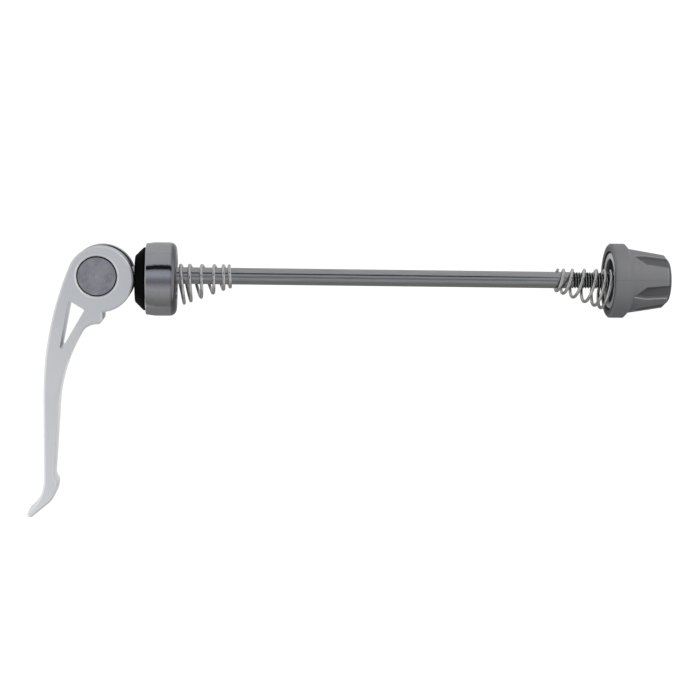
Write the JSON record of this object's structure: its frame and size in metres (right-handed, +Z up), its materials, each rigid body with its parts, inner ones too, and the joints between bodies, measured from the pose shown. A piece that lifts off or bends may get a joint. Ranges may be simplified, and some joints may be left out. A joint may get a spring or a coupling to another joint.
{
  "type": "quick release skewer",
  "caption": "Quick release skewer for a front bicycle wheel: cam lever, chromed clamp cup, conical springs on a steel rod and a fluted adjusting nut.",
  "frame": {"origin": "on the rod's axis, in the plane of the cup's clamping face", "axes": "+X along the rod from the lever to the nut, +Z up from the surface that it lies on, lever arm towards -Y"},
  "size_m": [0.1913, 0.0836, 0.0224],
  "materials": {
    "rod": "bright plated",
    "barrel": "turned",
    "lever": "matt silver",
    "bush": "moulded",
    "cup": "bright plated",
    "spring": "drawn wire",
    "cap": "moulded",
    "insert": "zinc plated"
  },
  "bodies": {
    "skewer": {"rod": "rod", "pivot_barrel": "barrel"},
    "lever": {"lever": "lever"},
    "clamp": {"thrust_bush": "bush", "clamp_cup": "cup", "lever_spring": "spring"},
    "nut_slider": {"nut_spring": "spring"},
    "nut": {"nut_cap": "cap", "nut_insert": "insert"}
  },
  "joints": [
    {"name": "lever_pivot", "type": "hinge", "parent": "skewer", "child": "lever", "pos_m": [-0.02313, 0, 0], "axis": [0, 0.0867, -0.9962], "range_deg": [0, 168]},
    {"name": "clamp_slide", "type": "slide", "parent": "skewer", "child": "clamp", "axis": [1, 0, 0], "range_m": [0, 0.08]},
    {"name": "nut_travel", "type": "slide", "parent": "skewer", "child": "nut_slider", "axis": [1, 0, 0], "range_m": [-0.0128, 0.0072]},
    {"name": "nut_spin", "type": "hinge", "parent": "nut_slider", "child": "nut", "pos_m": [0.1297, 0, 0], "axis": [1, 0, 0], "range_deg": [-5760, 3240]}
  ],
  "couplings": [
    {"joint": "nut_travel", "follows": "nut_spin", "m_per_rad": 0.00012732}
  ]
}
